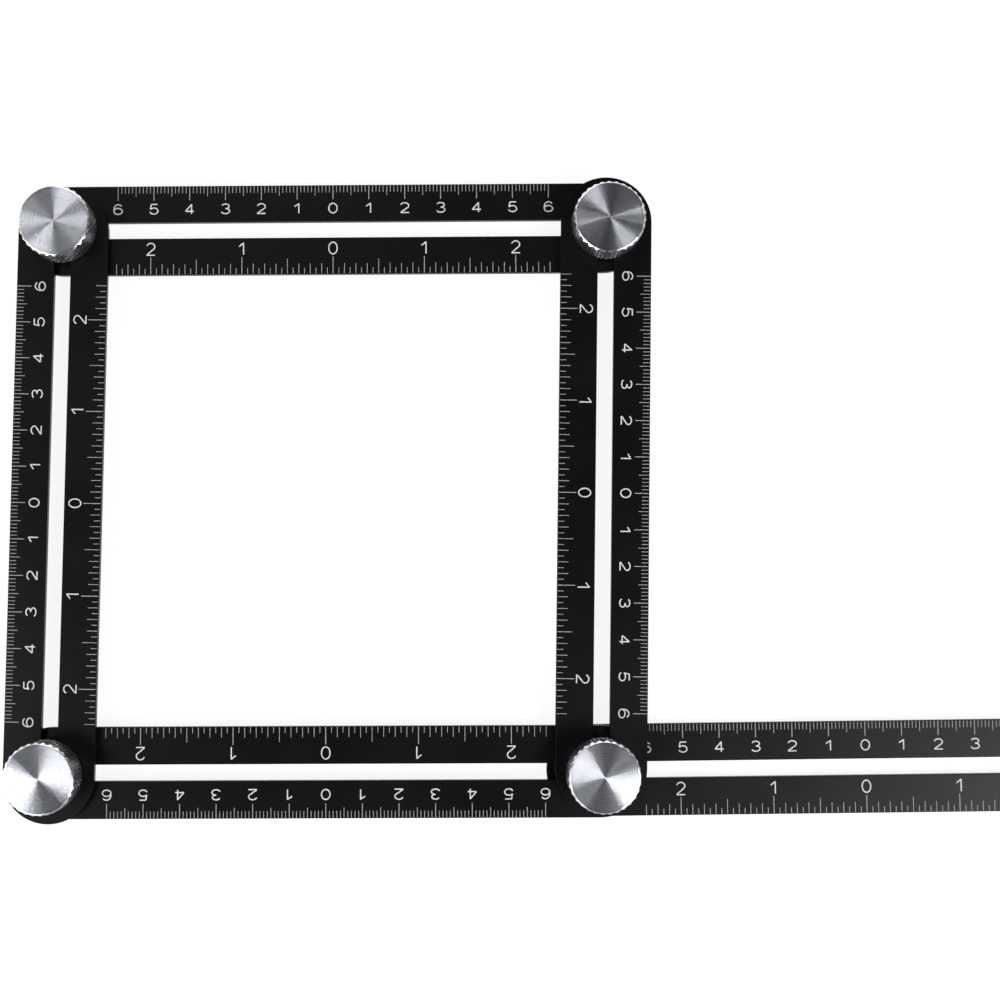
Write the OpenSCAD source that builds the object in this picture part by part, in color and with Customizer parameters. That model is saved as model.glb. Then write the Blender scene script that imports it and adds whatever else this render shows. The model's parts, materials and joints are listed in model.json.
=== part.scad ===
// Adjustable set square: four slotted rule arms clamped into a square frame,
// with a fifth arm swinging out from the bottom right corner.
// The origin is on the axis of that corner's clamp screw, at the underside of its head.

/* [Arms] */
// Length of an arm over its round ends
arm_l = 175; // [160:1:400]
// Width of an arm
arm_w = 25; // [22:0.5:40]
// Thickness of an arm
arm_t = 2; // [1.5:0.1:4]
// Width of the slot along an arm
slot_w = 4.5; // [4.3:0.1:5.5]
// Metal between the end of the slot and the end of the arm
slot_margin = 7.5; // [5:0.5:8]
// Bevel along the edges of an arm and of its slot
edge_bevel = 0.15; // [0.05:0.05:0.3]

/* [Frame] */
// Mean distance from the ends of the top and bottom arms to their pivots
width_inset = 12.3; // [12:0.1:50]
// Mean distance from the ends of the left and right arms to their pivots
height_inset = 12.5; // [12:0.1:50]
// Distance from the near end of the tail arm to its pivot
tail_inset = 14.5; // [12:0.1:80]
// How far the bottom arm is pushed to the right in its clamps
bottom_shift = 0.2; // [-1:0.1:1]
// How far the top arm is pushed to the right in its clamps
top_shift = -0.6; // [-1:0.1:1]
// How far the left arm is pushed upwards in its clamps
left_shift = -1; // [-1:0.1:1]
// How far the right arm is pushed upwards in its clamps
right_shift = 1; // [-1:0.1:1]
// How far the left and right arms lean to the right, in degrees
lean_angle = 1.13; // [-20:0.01:20]
// How far the tail arm is turned up from the line of the bottom arm, in degrees
tail_angle = 0.5; // [-60:0.1:30]

/* [Scales] */
// Depth of the engraved marks
groove_depth = 0.1; // [0.05:0.01:0.2]
// Width of a short mark
tick_w = 0.16; // [0.1:0.01:0.4]
// Width of a numbered mark
numbered_tick_w = 0.2; // [0.1:0.01:0.5]
// Gap between the edge's bevel and the marks
tick_gap = 0.05; // [0.02:0.01:0.2]
// Spacing of the metric marks
metric_step = 1; // [0.5:0.1:1.1]
// Distance of the millimetre marks' tips from the edge
millimetre_reach = 2.05; // [1:0.05:3]
// Distance of the five millimetre marks' tips from the edge
five_millimetre_reach = 2.95; // [2:0.05:4]
// Distance of the centimetre marks' tips from the edge
centimetre_reach = 4.05; // [3:0.05:4.5]
// Spacing of the inch marks
inch_step = 25.4; // [20:0.1:28]
// Distance of the sixteenth inch marks' tips from the edge
sixteenth_reach = 1.8; // [1:0.05:2.5]
// Distance of the eighth inch marks' tips from the edge
eighth_reach = 3; // [2:0.05:3.5]
// Distance of the half inch marks' tips from the edge
half_inch_reach = 4.25; // [3:0.05:4.5]
// Distance of the inch marks' tips from the edge
inch_reach = 4.9; // [4:0.05:5]
// Height of the centimetre numbers
centimetre_digit_h = 3.1; // [2:0.1:3.5]
// Width of the centimetre numbers
centimetre_digit_w = 2.7; // [2:0.1:4]
// Gap between a centimetre mark and its number
centimetre_digit_gap = 0.9; // [0.3:0.1:1.5]
// Height of the inch numbers
inch_digit_h = 3.7; // [2:0.1:4]
// Width of the inch numbers
inch_digit_w = 2.7; // [2:0.1:4]
// Gap between an inch mark and its number
inch_digit_gap = 0.5; // [0.3:0.1:1]
// Width of the strokes of the numbers
digit_stroke = 0.34; // [0.3:0.01:0.5]

/* [Clamp screws] */
// Diameter of the shank
screw_d = 4; // [3:0.1:4]
// Diameter of the flat head
screw_head_d = 11; // [8:0.5:14]
// Thickness of the flat head
screw_head_t = 1.6; // [1:0.1:2.5]
// Bevel around the underside of the head
screw_head_bevel = 0.3; // [0.1:0.1:0.6]
// Length of the neck that is keyed in the slot
neck_l = 6; // [5:0.5:8]
// Gap between the slot and each flat of the neck
neck_play = 0.1; // [0.05:0.01:0.2]
// How far the neck stops below the top of its arm
neck_drop = 0.2; // [0.1:0.1:0.5]
// Free space above the tip of the screw inside the knob
tip_space = 1; // [0.5:0.1:2]

/* [Washers] */
// Diameter of the friction washers between the arms
spacer_d = 12; // [9:0.5:20]
// Thickness of the friction washers
spacer_t = 0.5; // [0.3:0.1:1]
// Diameter of the washers under the knobs
washer_d = 9; // [7:0.5:18]
// Thickness of the washers under the knobs
washer_t = 0.8; // [0.5:0.1:1.5]
// Radial clearance between the screw and what turns on it
shank_play = 0.05; // [0.02:0.01:0.1]

/* [Knobs] */
// Diameter of a knob over its knurling
knob_d = 19.6; // [16:0.1:24]
// Height of a knob
knob_h = 10; // [8:0.5:16]
// Metal above the blind bore of a knob
knob_roof = 2; // [1.5:0.1:3]
// Bevel at the top and bottom rims of a knob
knob_bevel = 0.5; // [0.3:0.1:1.5]
// Depth of the diamond knurling
knurl_depth = 0.45; // [0.2:0.05:0.8]
// Number of diamonds around a knob
knurl_count = 30; // [20:1:48]
// Number of rows of half diamonds up a knob
knurl_rows = 6; // [4:1:12]

/* [Hidden] */

$fn = 48;
// Overrun of cuts past the surface that they open
overrun = 1;

arm_colour = "#201f24";
steel_colour = "#8f9297";
nylon_colour = "#dcdcd6";
aluminium_colour = "#c8cacf";

// Counts of the printed scales, on each side of the zero
centimetres_each_side = 6;
millimetres_in_centimetre = 10;
inches_each_side = 2;
sixteenths_each_side = 38;
sixteenths_in_inch = 16;

// Levels, from the underside of the longest screw's head upwards
tail_z = screw_head_t;
lower_z = tail_z + arm_t + spacer_t;
upper_z = lower_z + arm_t + spacer_t;
washer_z = upper_z + arm_t;
knob_z = washer_z + washer_t;
screw_tip_z = knob_z + knob_h - knob_roof - tip_space;

// Pivots of the four corners, which make a parallelogram
frame_w = arm_l - 2 * width_inset;
frame_h = arm_l - 2 * height_inset;
up_dir = [sin(lean_angle), cos(lean_angle)];
bottom_right = [0, 0];
bottom_left = [-frame_w, 0];
top_right = bottom_right + frame_h * up_dir;
top_left = bottom_left + frame_h * up_dir;

// Middles of the arms, where their scales read zero
bottom_middle = (bottom_left + bottom_right) / 2 + [bottom_shift, 0];
top_middle = (top_left + top_right) / 2 + [top_shift, 0];
left_middle = (bottom_left + top_left) / 2 + left_shift * up_dir;
right_middle = (bottom_right + top_right) / 2 + right_shift * up_dir;
tail_middle = bottom_right + (arm_l / 2 - tail_inset) * [cos(tail_angle), sin(tail_angle)];

// Shapes of the numbers: every stroke is a run of points in shares of half the number's
// width, from its middle, and of its height, from its foot
digit_arc_steps = 8;
function arc_share(centre, radii, from, to) = [
    for (i = [0:digit_arc_steps])
        let (a = from + (to - from) * i / digit_arc_steps)
        [centre[0] + radii[0] * cos(a), centre[1] + radii[1] * sin(a)]
];
digit_strokes_shares = [
    [arc_share([0, 0.5], [1, 0.5], 80, 280), arc_share([0, 0.5], [1, 0.5], -100, 100)],
    [[[0.4, 0], [0.4, 1]], [[0.4, 0.97], [-0.65, 0.68]]],
    [
        concat(arc_share([0, 0.7], [0.95, 0.3], 165, -30), [[-0.9, 0.04]]),
        [[-1, 0], [1, 0]],
    ],
    [arc_share([0, 0.76], [0.88, 0.24], 160, -85), arc_share([0, 0.27], [1, 0.27], 90, -160)],
    [[[0.45, 0], [0.45, 1]], [[0.45, 0.97], [-0.95, 0.3]], [[-1, 0.27], [1, 0.27]]],
    [
        [[-0.65, 1], [0.85, 1]],
        [[-0.62, 1], [-0.82, 0.48]],
        arc_share([0, 0.32], [1, 0.32], 145, -160),
    ],
    [
        arc_share([0, 0.31], [1, 0.31], 80, 280),
        arc_share([0, 0.31], [1, 0.31], -100, 100),
        arc_share([0.05, 0.48], [1.05, 0.52], 40, 195),
    ],
];

// Unit vector square to a run of points at one of them
function side_dir(points, i) =
    let (d = points[min(i + 1, len(points) - 1)] - points[max(i - 1, 0)])
    [-d[1], d[0]] / norm(d);

function offset_run(points, distance) = [
    for (i = [0:len(points) - 1]) points[i] + distance * side_dir(points, i)
];

function reversed(points) = [for (i = [len(points) - 1:-1:0]) points[i]];

// A line of the given width along a run of points
module stroke(points, width) {
    polygon(concat(offset_run(points, width / 2), reversed(offset_run(points, -width / 2))));
}

// One number, standing on the X axis with its middle on the Y axis
module digit(value, height, width) {
    half_w = (width - digit_stroke) / 2;
    line_h = height - digit_stroke;
    for (share = digit_strokes_shares[value])
        stroke(
            [for (p = share) [p[0] * half_w, p[1] * line_h + digit_stroke / 2]],
            digit_stroke
        );
}

// A mark that runs in from the edge at y = 0 to its reach
module tick(x, reach, width) {
    start = edge_bevel + tick_gap;
    translate([x - width / 2, -reach]) square([width, reach - start]);
}

function metric_reach(i) =
    i % millimetres_in_centimetre == 0 ? centimetre_reach
    : i % (millimetres_in_centimetre / 2) == 0 ? five_millimetre_reach
    : millimetre_reach;

function inch_mark_reach(i) =
    i % sixteenths_in_inch == 0 ? inch_reach
    : i % (sixteenths_in_inch / 2) == 0 ? half_inch_reach
    : i % 2 == 0 ? eighth_reach
    : sixteenth_reach;

// The metric scale, hanging down from the edge at y = 0
module metric_scale() {
    last = centimetres_each_side * millimetres_in_centimetre;
    for (i = [-last:last])
        tick(i * metric_step, metric_reach(abs(i)),
            i % millimetres_in_centimetre == 0 ? numbered_tick_w : tick_w);
    for (i = [-centimetres_each_side:centimetres_each_side])
        translate([
            i * millimetres_in_centimetre * metric_step,
            -centimetre_reach - centimetre_digit_gap - centimetre_digit_h,
        ])
            digit(abs(i), centimetre_digit_h, centimetre_digit_w);
}

// The inch scale, standing on the edge at y = 0
module inch_scale() {
    for (i = [-sixteenths_each_side:sixteenths_each_side])
        mirror([0, 1])
            tick(i * inch_step / sixteenths_in_inch, inch_mark_reach(abs(i)),
                i % sixteenths_in_inch == 0 ? numbered_tick_w : tick_w);
    for (i = [-inches_each_side:inches_each_side])
        translate([i * inch_step, inch_reach + inch_digit_gap])
            digit(abs(i), inch_digit_h, inch_digit_w);
}

// A bar with round ends along X, from half of its cross-section: [half width, height] points
module round_ended_bar(half_section, straight_l) {
    other_half = [for (p = reversed(half_section)) [-p[0], p[1]]];
    rotate([90, 0, 90])
        linear_extrude(straight_l, center = true)
            polygon(concat(half_section, other_half));
    for (side = [0, 180])
        rotate(side)
            translate([straight_l / 2, 0])
                rotate(-90)
                    rotate_extrude(angle = 180)
                        polygon(concat([[0, half_section[0][1]]], half_section,
                            [[0, half_section[len(half_section) - 1][1]]]));
}

// An arm before it is slotted and engraved
module arm_blank() {
    half_w = arm_w / 2;
    round_ended_bar([
        [half_w - edge_bevel, 0],
        [half_w, edge_bevel],
        [half_w, arm_t - edge_bevel],
        [half_w - edge_bevel, arm_t],
    ], arm_l - arm_w);
}

// What is cut away for a slot, flared at both faces by the bevel
module slot_cut() {
    half_w = slot_w / 2;
    flare = edge_bevel + overrun;
    round_ended_bar([
        [half_w + flare, -overrun],
        [half_w, edge_bevel],
        [half_w, arm_t - edge_bevel],
        [half_w + flare, arm_t + overrun],
    ], arm_l - 2 * slot_margin - slot_w);
}

// An arm about the middle of its underside, with the metric edge towards +Y
module arm() {
    color(arm_colour)
        difference() {
            arm_blank();
            slot_cut();
            translate([0, 0, arm_t - groove_depth])
                linear_extrude(groove_depth + overrun) {
                    translate([0, arm_w / 2]) metric_scale();
                    translate([0, -arm_w / 2]) inch_scale();
                }
        }
}

module placed_arm(middle, z, angle) {
    translate([middle[0], middle[1], z]) rotate(angle) arm();
}

module bottom_arm() {
    placed_arm(bottom_middle, lower_z, 180);
}

module top_arm() {
    placed_arm(top_middle, lower_z, 0);
}

module left_arm() {
    placed_arm(left_middle, upper_z, 90 - lean_angle);
}

module right_arm() {
    placed_arm(right_middle, upper_z, -90 - lean_angle);
}

module tail_arm() {
    placed_arm(tail_middle, tail_z, tail_angle);
}

// A clamp screw whose head lies under the arm at arm_z: flat head, keyed neck and shank
module clamp_screw(pivot, arm_z, slot_angle) {
    head_r = screw_head_d / 2;
    color(steel_colour)
        translate([pivot[0], pivot[1], arm_z]) {
            rotate_extrude()
                polygon([
                    [0, -screw_head_t],
                    [head_r - screw_head_bevel, -screw_head_t],
                    [head_r, screw_head_bevel - screw_head_t],
                    [head_r, 0],
                    [screw_d / 2, 0],
                    [screw_d / 2, screw_tip_z - arm_z],
                    [0, screw_tip_z - arm_z],
                ]);
            rotate(slot_angle)
                intersection() {
                    cylinder(h = arm_t - neck_drop, d = neck_l);
                    translate([-neck_l / 2, neck_play - slot_w / 2, 0])
                        cube([neck_l, slot_w - 2 * neck_play, arm_t - neck_drop]);
                }
        }
}

module screw_bottom_left() {
    clamp_screw(bottom_left, lower_z, 0);
}

module screw_top_left() {
    clamp_screw(top_left, lower_z, 0);
}

module screw_top_right() {
    clamp_screw(top_right, lower_z, 0);
}

module screw_bottom_right() {
    clamp_screw(bottom_right, tail_z, tail_angle);
}

// A flat ring that turns on a clamp screw
module ring(pivot, z, outer_d, thickness) {
    translate([pivot[0], pivot[1], z])
        difference() {
            cylinder(h = thickness, d = outer_d);
            translate([0, 0, -overrun])
                cylinder(h = thickness + 2 * overrun, r = screw_d / 2 + shank_play);
        }
}

// A friction washer on top of the arm at arm_z
module spacer(pivot, arm_z) {
    color(nylon_colour) ring(pivot, arm_z + arm_t, spacer_d, spacer_t);
}

module spacer_bottom_left() {
    spacer(bottom_left, lower_z);
}

module spacer_top_left() {
    spacer(top_left, lower_z);
}

module spacer_top_right() {
    spacer(top_right, lower_z);
}

module spacer_bottom_right() {
    spacer(bottom_right, lower_z);
}

module spacer_tail() {
    spacer(bottom_right, tail_z);
}

module washer(pivot) {
    color(steel_colour) ring(pivot, washer_z, washer_d, washer_t);
}

module washer_bottom_left() {
    washer(bottom_left);
}

module washer_top_left() {
    washer(top_left);
}

module washer_top_right() {
    washer(top_right);
}

module washer_bottom_right() {
    washer(bottom_right);
}

// The diamond knurling, one row longer than the knob at either end: a grid of points that
// are peaks and groove crossings by turns, so that four triangles about a peak make a diamond
module knurled_drum() {
    columns = 2 * knurl_count;
    last_row = knurl_rows + 2;
    points = [
        for (row = [0:last_row], column = [0:columns - 1])
            let (
                a = 360 * column / columns,
                r = knob_d / 2 - ((row + column) % 2 == 0 ? 0 : knurl_depth)
            )
            [r * cos(a), r * sin(a), knob_h * (row - 1) / knurl_rows]
    ];
    function index(row, column) = row * columns + column % columns;
    sides = [
        for (row = [0:last_row - 1], column = [0:columns - 1], half = [0, 1])
            let (
                a = index(row, column),
                b = index(row, column + 1),
                c = index(row + 1, column + 1),
                d = index(row + 1, column)
            )
            (row + column) % 2 == 0
                ? (half == 0 ? [a, d, b] : [c, b, d])
                : (half == 0 ? [b, a, c] : [d, c, a])
    ];
    foot = [for (column = [0:columns - 1]) index(0, column)];
    top = [for (column = [columns - 1:-1:0]) index(last_row, column)];
    polyhedron(points, concat(sides, [foot, top]));
}

// A knurled knob with a blind bore, whose threads the plain bore stands for
module knob(pivot) {
    rim_r = knob_d / 2 - knob_bevel;
    clear_r = knob_d / 2 + overrun;
    color(aluminium_colour)
        translate([pivot[0], pivot[1], knob_z])
            difference() {
                intersection() {
                    knurled_drum();
                    rotate_extrude($fn = 96)
                        polygon([
                            [0, 0],
                            [rim_r, 0],
                            [clear_r, knob_bevel + overrun],
                            [clear_r, knob_h - knob_bevel - overrun],
                            [rim_r, knob_h],
                            [0, knob_h],
                        ]);
                }
                translate([0, 0, -overrun])
                    cylinder(h = knob_h - knob_roof + overrun, r = screw_d / 2 + shank_play);
            }
}

module knob_bottom_left() {
    knob(bottom_left);
}

module knob_top_left() {
    knob(top_left);
}

module knob_top_right() {
    knob(top_right);
}

module knob_bottom_right() {
    knob(bottom_right);
}

bottom_arm();
top_arm();
left_arm();
right_arm();
tail_arm();
screw_bottom_left();
screw_top_left();
screw_top_right();
screw_bottom_right();
spacer_bottom_left();
spacer_top_left();
spacer_top_right();
spacer_bottom_right();
spacer_tail();
washer_bottom_left();
washer_top_left();
washer_top_right();
washer_bottom_right();
knob_bottom_left();
knob_top_left();
knob_top_right();
knob_bottom_right();
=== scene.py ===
"""Looks of the adjustable set square: five rule arms, four turned knobs, screws and washers."""

import json
import math

import bpy
import bmesh
from mathutils import Matrix, Vector

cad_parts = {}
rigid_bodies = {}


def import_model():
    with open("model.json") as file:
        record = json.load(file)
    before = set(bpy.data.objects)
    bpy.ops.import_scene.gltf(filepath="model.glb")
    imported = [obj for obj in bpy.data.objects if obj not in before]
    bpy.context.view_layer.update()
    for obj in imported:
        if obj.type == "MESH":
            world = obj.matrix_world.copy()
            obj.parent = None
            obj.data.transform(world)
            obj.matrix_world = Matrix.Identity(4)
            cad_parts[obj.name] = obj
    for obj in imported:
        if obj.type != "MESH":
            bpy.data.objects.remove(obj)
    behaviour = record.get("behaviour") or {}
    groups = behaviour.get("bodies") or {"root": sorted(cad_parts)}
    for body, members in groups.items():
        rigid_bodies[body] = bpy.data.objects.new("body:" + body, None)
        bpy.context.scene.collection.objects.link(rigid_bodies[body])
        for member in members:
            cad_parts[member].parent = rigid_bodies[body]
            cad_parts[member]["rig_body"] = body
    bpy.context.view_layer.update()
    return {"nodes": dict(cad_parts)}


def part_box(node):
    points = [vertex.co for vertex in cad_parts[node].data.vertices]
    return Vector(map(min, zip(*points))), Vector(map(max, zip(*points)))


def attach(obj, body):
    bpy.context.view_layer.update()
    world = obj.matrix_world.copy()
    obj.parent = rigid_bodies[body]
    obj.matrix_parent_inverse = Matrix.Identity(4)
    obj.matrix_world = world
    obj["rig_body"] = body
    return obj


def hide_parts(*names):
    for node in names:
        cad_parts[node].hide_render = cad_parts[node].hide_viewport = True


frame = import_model()

MM = 0.001
ARMS = ("bottom_arm", "top_arm", "left_arm", "right_arm", "tail_arm")
CORNERS = ("bottom_left", "top_left", "top_right", "bottom_right")


# Camera

CAMERA_PLACE = Vector((-39.52, 54.41, 430.61)) * MM
# Turns about x, y and z that take the frame's directions to the camera's (degrees)
CAMERA_TILT = (-2.987, -0.552, 0.272)
CAMERA_CLIP_START = 0.01
FOCAL_PIXELS = 1541.3
PICTURE_PIXELS = 1000
# Where the lens's axis meets the picture, from its top left corner: the picture is a cut-out
LENS_AXIS_PIXELS = (439.6, 492.0)
SENSOR = 36.0


def make_camera():
    """A camera that looks almost straight down on the face with the scales."""
    x, y, z = (math.radians(a) for a in CAMERA_TILT)
    world_to_camera = (Matrix.Rotation(x, 3, "X") @ Matrix.Rotation(y, 3, "Y")
                       @ Matrix.Rotation(z, 3, "Z"))
    data = bpy.data.cameras.new("camera")
    data.sensor_width = SENSOR
    data.lens = FOCAL_PIXELS / PICTURE_PIXELS * SENSOR
    data.shift_x = 0.5 - LENS_AXIS_PIXELS[0] / PICTURE_PIXELS
    data.shift_y = LENS_AXIS_PIXELS[1] / PICTURE_PIXELS - 0.5
    data.clip_start = CAMERA_CLIP_START
    camera = bpy.data.objects.new("camera", data)
    bpy.context.scene.collection.objects.link(camera)
    camera.matrix_world = Matrix.Translation(CAMERA_PLACE) @ world_to_camera.transposed().to_4x4()
    bpy.context.scene.camera = camera


# Light

SOFTBOX_AIM = Vector((-0.074, 0.075, 0.0))
SOFTBOX_DISTANCE = 1.2
# Watts per square metre that give an area lamp's face a brightness of 1
LAMP_POWER = 4
# name: azimuth and tilt from the vertical (degrees), half width and half height (share of the
# distance), brightness of its face
SOFTBOXES = {
    "softbox_right": (328, 38, 0.25, 0.13, 12.0),
    "softbox_left": (203, 43, 0.23, 0.27, 4.8),
    "softbox_back_left": (158, 44, 0.13, 0.32, 1.2),
    "softbox_back": (103, 36, 0.17, 0.13, 2.9),
    "softbox_top": (122, 18, 0.15, 0.02, 2.5),
    "softbox_front": (239, 58, 0.22, 0.39, 3.0),
    "softbox_wide": (323, 32, 0.20, 0.33, 0.3),
    "softbox_low_back": (84, 65, 0.45, 0.38, 0.75),
    "strip_right": (38, 33, 0.02, 0.05, 11.0),
    "strip_back_right": (21, 35, 0.02, 0.04, 9.0),
    "card_right": (323, 70, 0.18, 0.09, 4.5),
    "card_left": (217, 76, 0.15, 0.06, 4.5),
}


def make_softbox(name, azimuth, tilt, half_width, half_height, brightness):
    """An area lamp that faces the frame's middle and that the camera doesn't see."""
    a, t = math.radians(azimuth), math.radians(tilt)
    towards = Vector((math.sin(t) * math.cos(a), math.sin(t) * math.sin(a), math.cos(t)))
    across = Vector((-math.sin(a), math.cos(a), 0.0))
    along = towards.cross(across)
    data = bpy.data.lights.new(name, "AREA")
    data.shape = "RECTANGLE"
    data.size = 2 * half_width * SOFTBOX_DISTANCE
    data.size_y = 2 * half_height * SOFTBOX_DISTANCE
    data.energy = LAMP_POWER * data.size * data.size_y * brightness
    lamp = bpy.data.objects.new(name, data)
    bpy.context.scene.collection.objects.link(lamp)
    turn = Matrix((across, along, towards)).transposed()
    lamp.matrix_world = (Matrix.Translation(SOFTBOX_AIM + towards * SOFTBOX_DISTANCE)
                         @ turn.to_4x4())
    lamp.visible_camera = False


# Nodes

class Nodes:
    """Short forms for building a node tree. A value is a number or another node's socket."""

    def __init__(self, tree):
        self.tree = tree
        self.tree.nodes.clear()

    def add(self, kind, inputs=(), **settings):
        node = self.tree.nodes.new(kind)
        for key, value in settings.items():
            setattr(node, key, value)
        for key, value in dict(inputs).items():
            self.set(node.inputs[key], value)
        return node

    def set(self, socket, value):
        if isinstance(value, bpy.types.NodeSocket):
            self.tree.links.new(value, socket)
        else:
            socket.default_value = value

    def math(self, operation, a, b):
        return self.add("ShaderNodeMath", {0: a, 1: b}, operation=operation).outputs[0]

    def vector_math(self, operation, output, inputs):
        return self.add("ShaderNodeVectorMath", inputs, operation=operation).outputs[output]

    def split(self, vector):
        return self.add("ShaderNodeSeparateXYZ", {"Vector": vector}).outputs

    def ramp(self, value, low, high, to_low=0.0, to_high=1.0, smooth=True):
        node = self.add("ShaderNodeMapRange",
                        {"Value": value, "From Min": low, "From Max": high,
                         "To Min": to_low, "To Max": to_high})
        node.interpolation_type = "SMOOTHSTEP" if smooth else "LINEAR"
        return node.outputs["Result"]

    def noise(self, place, scale, detail=2.0, roughness=0.5, dimensions="3D"):
        node = self.add("ShaderNodeTexNoise", noise_dimensions=dimensions)
        self.set(node.inputs["W" if dimensions == "1D" else "Vector"], place)
        node.inputs["Scale"].default_value = scale
        node.inputs["Detail"].default_value = detail
        node.inputs["Roughness"].default_value = roughness
        return node.outputs["Fac"]

    def mix(self, factor, a, b):
        return self.add("ShaderNodeMix", {"Factor": factor, "A": a, "B": b},
                        data_type="RGBA").outputs["Result"]

    def bump(self, height, strength, distance, normal=None):
        inputs = {"Height": height, "Strength": strength, "Distance": distance}
        if normal is not None:
            inputs["Normal"] = normal
        return self.add("ShaderNodeBump", inputs).outputs["Normal"]


def new_material(name, **constants):
    """A material with its nodes, its shader, and the place on the piece.

    The constants are set on the shader's sockets, as Specular_IOR_Level for "Specular IOR Level".
    """
    material = bpy.data.materials.new(name)
    material.use_nodes = True
    nodes = Nodes(material.node_tree)
    output = nodes.add("ShaderNodeOutputMaterial")
    shader = nodes.add("ShaderNodeBsdfPrincipled")
    nodes.tree.links.new(shader.outputs["BSDF"], output.inputs["Surface"])
    for key, value in constants.items():
        shader.inputs[key.replace("_", " ")].default_value = value
    place = nodes.add("ShaderNodeTexCoord").outputs["Object"]
    return material, nodes, shader.inputs, place


def grey(value, tint=(1.0, 1.0, 1.0)):
    return (value * tint[0], value * tint[1], value * tint[2], 1.0)


# Materials

# Noise scales of the rubs along x, y and z, and how much of their grey shows
RUB_SCALES = (260.0, 2600.0, 900.0)
RUB_SHARE = 0.5
# What the grain and the broken edges add to the roughness
GRAIN_ROUGHNESS = 0.12
EDGE_ROUGHNESS = 0.4


def anodised_material():
    """Black anodised aluminium: a fine bead-blasted grain under a thin satin gloss."""
    material, nodes, shader, place = new_material(
        "black_anodised", IOR=1.5, Specular_IOR_Level=0.16)
    clouds = nodes.noise(place, scale=45.0, detail=3.0)
    grain = nodes.noise(place, scale=5200.0, roughness=0.6)
    stretched = nodes.vector_math("MULTIPLY", "Vector", {0: place, 1: RUB_SCALES})
    rubs = nodes.noise(stretched, scale=1.0, detail=3.0, roughness=0.7)
    rub_mask = nodes.ramp(nodes.noise(place, scale=60.0), 0.52, 0.75)
    rub = nodes.math("MULTIPLY", nodes.ramp(rubs, 0.62, 0.78), rub_mask)
    base = nodes.mix(clouds, grey(0.0009, (0.9, 0.9, 1.6)), grey(0.0015, (0.9, 0.9, 1.5)))
    base = nodes.mix(nodes.math("MULTIPLY", rub, RUB_SHARE), base, grey(0.010))
    nodes.set(shader["Base Color"], base)
    centred = nodes.math("SUBTRACT", grain, 0.5)
    roughness = nodes.math("ADD", nodes.ramp(clouds, 0.3, 0.7, 0.31, 0.36),
                           nodes.math("MULTIPLY", centred, GRAIN_ROUGHNESS))
    # The broken edges face neither up nor sideways, and are duller
    facing_up = nodes.split(nodes.add("ShaderNodeNewGeometry").outputs["True Normal"])["Z"]
    broken_edge = nodes.math("MULTIPLY", nodes.ramp(facing_up, 0.35, 0.5),
                             nodes.ramp(facing_up, 0.85, 0.98, 1.0, 0.0))
    roughness = nodes.math("ADD", roughness, nodes.math("MULTIPLY", broken_edge, EDGE_ROUGHNESS))
    nodes.set(shader["Roughness"], roughness)
    nodes.set(shader["Normal"], nodes.bump(grain, strength=0.1, distance=0.02 * MM))
    return material


def marking_material(name, full, thinned):
    """White paint wiped into the engraved grooves, a little thin in places."""
    material, nodes, shader, place = new_material(name, Roughness=0.6, Specular_IOR_Level=0.3)
    thin = nodes.noise(place, scale=900.0, detail=3.0, roughness=0.6)
    nodes.set(shader["Base Color"],
              nodes.mix(nodes.ramp(thin, 0.35, 0.7), grey(full), grey(thinned, (0.98, 1.0, 1.02))))
    nodes.set(shader["Normal"], nodes.bump(thin, strength=0.3, distance=0.02 * MM))
    return material


FACE_BRIGHTNESS = 0.78
FACE_ROUGHNESS = 0.20
FACE_ROUGHNESS_PLAY = 0.01


def turned_material():
    """The knob's faced-off end: fine concentric tool lines, so that it gleams in sectors."""
    material, nodes, shader, place = new_material(
        "turned_face", Metallic=1.0, Anisotropic=1.0, Anisotropic_Rotation=0.25)
    apart = nodes.split(place)
    flat = nodes.add("ShaderNodeCombineXYZ", {"X": apart["X"], "Y": apart["Y"]})
    radius = nodes.vector_math("LENGTH", "Value", {0: flat.outputs["Vector"]})
    rings = nodes.noise(radius, scale=2600.0, detail=3.0, roughness=0.75, dimensions="1D")
    speckle = nodes.noise(place, scale=2000.0, roughness=0.6)
    patches = nodes.noise(place, scale=190.0)
    base = nodes.mix(nodes.ramp(patches, 0.35, 0.65),
                     grey(FACE_BRIGHTNESS, (0.975, 0.965, 1.08)),
                     grey(FACE_BRIGHTNESS, (0.950, 0.990, 1.04)))
    shade = nodes.math("ADD", nodes.ramp(rings, 0.35, 0.65, 0.84, 1.10, smooth=False),
                       nodes.ramp(speckle, 0.36, 0.64, -0.12, 0.12, smooth=False))
    nodes.set(shader["Base Color"],
              nodes.vector_math("SCALE", "Vector", {0: base, "Scale": shade}))
    nodes.set(shader["Roughness"],
              nodes.ramp(speckle, 0.5, 0.66, FACE_ROUGHNESS,
                         FACE_ROUGHNESS + FACE_ROUGHNESS_PLAY))
    tangent = nodes.add("ShaderNodeTangent", direction_type="RADIAL", axis="Z")
    nodes.set(shader["Tangent"], tangent.outputs["Tangent"])
    lines = nodes.bump(rings, strength=0.5, distance=0.01 * MM)
    nodes.set(shader["Normal"], nodes.bump(speckle, 0.4, distance=0.007 * MM, normal=lines))
    return material


def rim_material():
    """The bevels of a knob: a fresh bright cut, left as beads between the knurling's grooves."""
    material, nodes, shader, place = new_material("bevelled_rim", Metallic=1.0)
    chatter = nodes.noise(place, scale=2400.0)
    nodes.set(shader["Base Color"],
              nodes.mix(chatter, grey(0.86, (0.985, 0.99, 1.02)), grey(0.94, (0.99, 0.99, 1.01))))
    nodes.set(shader["Roughness"], nodes.ramp(chatter, 0.3, 0.7, 0.20, 0.28))
    return material


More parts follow.
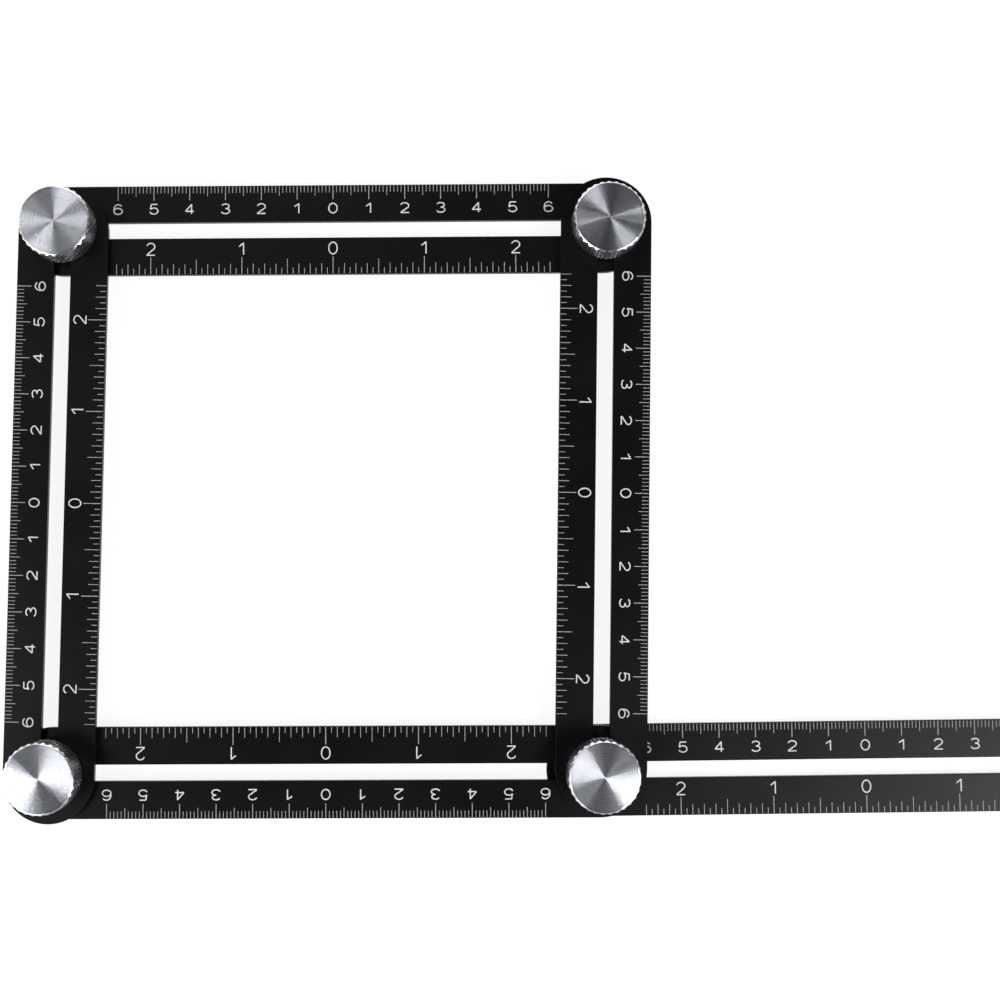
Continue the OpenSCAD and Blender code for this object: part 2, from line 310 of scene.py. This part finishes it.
def knurl_material():
    """Rolled knurling: aluminium with slightly torn, duller flanks, its colour darkened as painted
    shade of the grooves.
    """
    material, nodes, shader, place = new_material("knurled_aluminium_painted_shade", Metallic=1.0)
    burr = nodes.noise(place, scale=2600.0, detail=3.0, roughness=0.6)
    stain_and_painted_shade = nodes.noise(place, scale=700.0)
    # Painted shade: both greys are far darker than aluminium and stand in for the shade in the
    # knurl's grooves; the noise only varies them at random
    nodes.set(shader["Base Color"],
              nodes.mix(stain_and_painted_shade, grey(0.12, (1.0, 1.0, 1.06)), grey(0.26, (1.0, 1.0, 1.04))))
    nodes.set(shader["Roughness"], nodes.ramp(burr, 0.3, 0.7, 0.28, 0.42))
    nodes.set(shader["Normal"], nodes.bump(burr, strength=0.15, distance=0.02 * MM))
    return material


def steel_material():
    """Zinc plated steel: pale, faintly blue and yellow, with fine drawing lines."""
    material, nodes, shader, place = new_material("zinc_plated_steel", Metallic=1.0)
    cloud = nodes.noise(place, scale=260.0)
    fine = nodes.noise(place, scale=2600.0, detail=3.0, roughness=0.65)
    nodes.set(shader["Base Color"],
              nodes.mix(nodes.ramp(cloud, 0.35, 0.65), grey(0.56, (0.97, 1.0, 1.06)),
                        grey(0.60, (1.04, 1.0, 0.93))))
    nodes.set(shader["Roughness"], nodes.ramp(fine, 0.3, 0.7, 0.22, 0.38))
    nodes.set(shader["Normal"], nodes.bump(fine, strength=0.25, distance=0.02 * MM))
    return material


def nylon_material():
    """Natural nylon of the thin friction washers: milky, with a dull sheen."""
    material, nodes, shader, place = new_material(
        "natural_nylon", Subsurface_Weight=0.2, Subsurface_Scale=1.0,
        Subsurface_Radius=(0.8 * MM, 0.8 * MM, 0.6 * MM))
    cloud = nodes.noise(place, scale=400.0, detail=3.0)
    nodes.set(shader["Base Color"],
              nodes.mix(cloud, (0.74, 0.73, 0.67, 1.0), (0.66, 0.65, 0.58, 1.0)))
    nodes.set(shader["Roughness"], nodes.ramp(cloud, 0.3, 0.7, 0.42, 0.55))
    nodes.set(shader["Normal"], nodes.bump(cloud, strength=0.2, distance=0.03 * MM))
    return material


# Backdrop

# Brightness of the white surround by direction, as shares of a turn from the -X axis
SURROUND_SIDES = ((0.00, 0.25), (0.03, 0.25), (0.06, 1.0), (0.14, 1.0), (0.18, 0.15), (0.31, 0.15),
                  (0.36, 1.0), (0.43, 1.0), (0.47, 0.3), (0.58, 0.3), (0.66, 1.0), (0.90, 1.0),
                  (0.95, 0.15), (1.00, 0.2))
# Degrees above the horizon between which the surround fades, and the brightness overhead
SURROUND_TOP = (9, 17)
OVERHEAD = 0.02


def make_world():
    """A white surround at eye level that turns dark overhead. The camera sees it white."""
    world = bpy.data.worlds.new("studio")
    bpy.context.scene.world = world
    world.use_nodes = True
    nodes = Nodes(world.node_tree)
    output = nodes.add("ShaderNodeOutputWorld")
    apart = nodes.split(nodes.add("ShaderNodeTexCoord").outputs["Generated"])
    turn = nodes.math("ARCTAN2", apart["Y"], apart["X"])
    sides = nodes.add("ShaderNodeValToRGB",
                      {"Fac": nodes.ramp(turn, -math.pi, math.pi, smooth=False)})
    stops = sides.color_ramp.elements
    for share, brightness in SURROUND_SIDES[1:-1]:
        stops.new(share).color = grey(brightness)
    stops[0].color = grey(SURROUND_SIDES[0][1])
    stops[-1].color = grey(SURROUND_SIDES[-1][1])
    fade_from, fade_to = (math.sin(math.radians(a)) for a in SURROUND_TOP)
    height = nodes.ramp(apart["Z"], fade_from, fade_to, 1.0, 0.0)
    surround = nodes.math("ADD", nodes.math("MULTIPLY", height, sides.outputs["Color"]), OVERHEAD)
    ray = nodes.add("ShaderNodeLightPath").outputs
    seen = nodes.math("MAXIMUM", ray["Is Camera Ray"], ray["Is Transmission Ray"])
    strength = nodes.math("MAXIMUM", surround, seen)
    background = nodes.add("ShaderNodeBackground", {"Color": grey(1.0), "Strength": strength})
    nodes.tree.links.new(background.outputs["Background"], output.inputs["Surface"])


FLOOR_SIZE = 40.0
FLOOR_DROP = 0.02 * MM
# Two places and the mirrored floor's brightness at each, along Y (front) and along X (right)
FRONT_FADE = (-0.15, -0.06, 0.08, 1.0)
RIGHT_FADE = (0.07, 0.15, 1.0, 0.35)
# The lamps light the floor about this far out, and its glow makes up for them farther out
LIT_REACH = 0.6
GLOW_NEAR = 0.885
GLOW_FAR = 1.0
# How much of the lamps' light, and so of the shadow, shows on the glowing floor
LIT_SHADE = 0.17


def make_floor():
    """A pale floor that the camera sees white, with the object's shadow kept.

    Metal mirrors it too, and darker towards the front and the right.
    """
    bpy.ops.mesh.primitive_plane_add(size=FLOOR_SIZE, location=(0.0, 0.0, -FLOOR_DROP))
    floor = bpy.context.object
    floor.name = "floor"
    material, nodes, shader, place = new_material(
        "pale_floor", Roughness=1.0, Specular_IOR_Level=0.0, Emission_Color=grey(1.0))
    paper = nodes.noise(place, scale=14.0)
    apart = nodes.split(place)
    side = nodes.math("MULTIPLY", nodes.ramp(apart["Y"], *FRONT_FADE),
                      nodes.ramp(apart["X"], *RIGHT_FADE))
    ray = nodes.add("ShaderNodeLightPath").outputs
    mirrored = nodes.math("MULTIPLY", ray["Is Glossy Ray"], side)
    seen = nodes.math("MAXIMUM", ray["Is Camera Ray"],
                      nodes.math("MAXIMUM", mirrored, ray["Is Transmission Ray"]))
    pale = nodes.mix(paper, grey(0.79), grey(0.81))
    dim = nodes.math("MAXIMUM", seen, ray["Is Glossy Ray"])
    nodes.set(shader["Base Color"], nodes.mix(dim, pale, grey(LIT_SHADE)))
    reach = nodes.vector_math("LENGTH", "Value", {0: place})
    glow = nodes.ramp(reach, LIT_REACH, 3 * LIT_REACH, GLOW_NEAR, GLOW_FAR)
    nodes.set(shader["Emission Strength"], nodes.math("MULTIPLY", seen, glow))
    floor.data.materials.append(material)


# Markings

GROOVE_DEPTH = 0.1 * MM
# How far a groove floor's corners may lie off its level, and the least upward part of its normal
LEVEL_PLAY = GROOVE_DEPTH / 50
LEAST_UPWARD = 0.9
PAINT_TOP = 0.085 * MM
PAINT_BOTTOM = 0.002 * MM
SAME_PLACE = 0.0002 * MM
TICK_CORNERS = 4
NUMBER_SLOT = 0
TICK_SLOT = 1


def islands(mesh):
    """Groups of faces that hang together."""
    left = set(mesh.faces)
    while left:
        group, edge_of_group = set(), [left.pop()]
        while edge_of_group:
            face = edge_of_group.pop()
            group.add(face)
            for other in {f for e in face.edges for f in e.link_faces} & left:
                left.remove(other)
                edge_of_group.append(other)
        yield group


def groove_floors(arm, level):
    """The floors of an arm's engraved grooves, with ticks and numbers told apart.

    A plain rectangle is a tick, and every other outline is a number's.
    """
    floors = bmesh.new()
    floors.from_mesh(frame["nodes"][arm].data)
    bmesh.ops.remove_doubles(floors, verts=floors.verts, dist=SAME_PLACE)
    others = [face for face in floors.faces
              if any(abs(v.co.z - level) > LEVEL_PLAY for v in face.verts)
              or face.normal.z < LEAST_UPWARD]
    bmesh.ops.delete(floors, geom=others, context="FACES")
    for group in islands(floors):
        corners = {v for face in group for v in face.verts}
        for face in group:
            face.material_index = TICK_SLOT if len(corners) == TICK_CORNERS else NUMBER_SLOT
    return floors


def thicken(floors, level):
    """Raises the faces to the paint's top, and closes them with a lower side and walls."""
    top_faces = list(floors.faces)
    lower = bmesh.ops.duplicate(floors, geom=top_faces + list(floors.verts) + list(floors.edges))
    lower_of = lower["vert_map"]
    lower_faces = [g for g in lower["geom"] if isinstance(g, bmesh.types.BMFace)]
    kept = set(top_faces)
    rims = [e for e in floors.edges if e.is_boundary and kept.issuperset(e.link_faces)]
    for face in lower_faces:
        face.normal_flip()
    for edge in rims:
        loop = edge.link_loops[0]
        a, b = loop.vert, loop.link_loop_next.vert
        wall = floors.faces.new((b, a, lower_of[a], lower_of[b]))
        wall.material_index = loop.face.material_index
    for vert in {v for f in top_faces for v in f.verts}:
        vert.co.z = level + PAINT_TOP
        lower_of[vert].co.z = level + PAINT_BOTTOM


def make_markings(arm, materials):
    """Paint that fills an arm's engraved grooves: its outline is that of the groove floors."""
    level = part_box(arm)[1].z - GROOVE_DEPTH
    paint = groove_floors(arm, level)
    thicken(paint, level)
    mesh = bpy.data.meshes.new("markings_" + arm)
    paint.to_mesh(mesh)
    paint.free()
    for material in materials:
        mesh.materials.append(material)
    piece = bpy.data.objects.new("markings_" + arm, mesh)
    bpy.context.scene.collection.objects.link(piece)
    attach(piece, frame["nodes"][arm]["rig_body"])


# Knobs

# Sizes in millimetres
FACE_RADIUS = 9.3
RIM_RADIUS = 9.8
BEVEL = RIM_RADIUS - FACE_RADIUS
KNOB_HEIGHT = 10.0
SIDE_HEIGHT = KNOB_HEIGHT - 2 * BEVEL
BORE_RADIUS = 2.05
BORE_DEPTH = 8.0
BORE_CHAMFER = 0.4
KNURL_DEPTH = 0.45
KNURL_COUNT = 30
# Mesh steps across one diamond, around and up, so that grooves and ridges run along mesh edges
KNURL_STEPS = 12
# Height, as a share of a full triangle's, where the diamonds' tops are flat
KNURL_CREST = 1.0 - 2.0 / KNURL_STEPS
COLUMNS = KNURL_COUNT * KNURL_STEPS
BEVEL_STEPS = 6
SIDE_STEPS = 32
KNURL_PITCH = SIDE_HEIGHT / SIDE_STEPS * KNURL_STEPS
# Both families of grooves meet on the top bevel, one side step up: one bead between two grooves
KNURL_MEETING = KNOB_HEIGHT - BEVEL + SIDE_HEIGHT / SIDE_STEPS
UNDERSIDE_RING = 6.5
FACE_RINGS = (9.05, 8.2, 6.5, 4.5, 2.5, 1.0, 0.3)
FACE_SLOT = 0
KNURL_SLOT = 1
RIM_SLOT = 2
# Degrees that each knob is turned by, so that no two stand alike
KNOB_PHASES = {"bottom_left": 4.0, "top_left": 49.0, "top_right": 97.0, "bottom_right": 152.0}


def triangle_wave(t):
    t = t % 1.0
    return 1.0 - abs(2.0 * t - 1.0)


def knurl_radius(angle, z):
    """Radius of the knurled side: two crossed families of V grooves leave diamonds."""
    around = angle / (2 * math.pi) * KNURL_COUNT
    up = (z - KNURL_MEETING) / KNURL_PITCH
    height = min(triangle_wave(around + up), triangle_wave(around - up), KNURL_CREST)
    return RIM_RADIUS - KNURL_DEPTH * (1.0 - height / KNURL_CREST)


def bevel_radius(z):
    return FACE_RADIUS + min(z, KNOB_HEIGHT - z, BEVEL)


def split_quad(corners, radii, middle):
    """Two triangles of a side's quad, cut along the diagonal that follows its groove or ridge."""
    a, b, c, d = corners
    if abs((radii[0] + radii[2]) / 2 - middle) <= abs((radii[1] + radii[3]) / 2 - middle):
        return (a, b, c), (a, c, d)
    return (a, b, d), (b, c, d)


def knob_rings(angles):
    """A knob's rings of radii and heights: bore, underside, bevelled and knurled side, face."""
    heights = [BEVEL * i / BEVEL_STEPS for i in range(BEVEL_STEPS)]
    heights += [BEVEL + SIDE_HEIGHT * i / SIDE_STEPS for i in range(SIDE_STEPS)]
    heights += [KNOB_HEIGHT - BEVEL * (BEVEL_STEPS - i) / BEVEL_STEPS
                for i in range(BEVEL_STEPS + 1)]
    bottom = [[ring] * COLUMNS for ring in (
        (BORE_RADIUS, BORE_DEPTH), (BORE_RADIUS, BORE_CHAMFER),
        (BORE_RADIUS + BORE_CHAMFER, 0.0), (UNDERSIDE_RING, 0.0))]
    side = [[(min(bevel_radius(z), knurl_radius(a, z)), z) for a in angles] for z in heights]
    face = [[(r, KNOB_HEIGHT)] * COLUMNS for r in FACE_RINGS]
    return bottom, side, face


def knob_mesh():
    """One knob about the z axis, its underside at z = 0. Only its turned face is smooth."""
    angles = [2 * math.pi * i / COLUMNS for i in range(COLUMNS)]
    bottom, side, face = knob_rings(angles)
    side_start, side_end = len(bottom), len(bottom) + len(side) - 1
    rings = bottom + side + face
    verts = [(r * math.cos(a) * MM, r * math.sin(a) * MM, z * MM)
             for ring in rings for a, (r, z) in zip(angles, ring)]
    centre, roof = len(verts), len(verts) + 1
    verts += [(0.0, 0.0, KNOB_HEIGHT * MM), (0.0, 0.0, BORE_DEPTH * MM)]
    faces, slots = [], []
    for row in range(len(rings) - 1):
        for i in range(COLUMNS):
            j = (i + 1) % COLUMNS
            quad = (row * COLUMNS + i, row * COLUMNS + j, (row + 1) * COLUMNS + j,
                    (row + 1) * COLUMNS + i)
            pieces, slot = (quad,), FACE_SLOT if row >= side_end else KNURL_SLOT
            if side_start <= row < side_end:
                z = (rings[row][i][1] + rings[row + 1][i][1]) / 2
                cut, rolled = bevel_radius(z), knurl_radius(angles[i] + math.pi / COLUMNS, z)
                radii = (rings[row][i][0], rings[row][j][0], rings[row + 1][j][0],
                         rings[row + 1][i][0])
                pieces = split_quad(quad, radii, min(cut, rolled))
                slot = RIM_SLOT if cut < rolled else KNURL_SLOT
            faces += pieces
            slots += [slot] * len(pieces)
    last = (len(rings) - 1) * COLUMNS
    for i in range(COLUMNS):
        j = (i + 1) % COLUMNS
        faces += [(last + i, last + j, centre), (j, i, roof)]
        slots += [FACE_SLOT, KNURL_SLOT]
    mesh = bpy.data.meshes.new("turned_knob")
    mesh.from_pydata(verts, [], faces)
    mesh.polygons.foreach_set("material_index", slots)
    mesh.polygons.foreach_set("use_smooth", [slot == FACE_SLOT for slot in slots])
    mesh.validate()
    return mesh


def make_knobs(materials):
    """A turned knob in place of each of the CAD's, all four of one mesh."""
    mesh = knob_mesh()
    for material in materials:
        mesh.materials.append(material)
    for corner in CORNERS:
        node = "knob_" + corner
        low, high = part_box(node)
        piece = bpy.data.objects.new("turned_" + node, mesh)
        bpy.context.scene.collection.objects.link(piece)
        centre = (low + high) / 2
        piece.matrix_world = (Matrix.Translation((centre.x, centre.y, low.z))
                              @ Matrix.Rotation(math.radians(KNOB_PHASES[corner]), 4, "Z"))
        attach(piece, frame["nodes"][node]["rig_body"])
        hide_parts(node)


# Scene

def finish_node(name, material):
    for material_slot in frame["nodes"][name].material_slots:
        material_slot.material = material


make_camera()
make_world()
make_floor()
for softbox_name, numbers in SOFTBOXES.items():
    make_softbox(softbox_name, *numbers)

anodised = anodised_material()
paints = (marking_material("number_paint", full=0.57, thinned=0.46),
          marking_material("tick_paint", full=0.35, thinned=0.27))
steel = steel_material()
nylon = nylon_material()
for arm_name in ARMS:
    finish_node(arm_name, anodised)
    make_markings(arm_name, paints)
for corner_name in CORNERS:
    finish_node("screw_" + corner_name, steel)
    finish_node("washer_" + corner_name, steel)
    finish_node("spacer_" + corner_name, nylon)
finish_node("spacer_tail", nylon)
make_knobs((turned_material(), knurl_material(), rim_material()))

bpy.context.scene.view_settings.view_transform = "Standard"
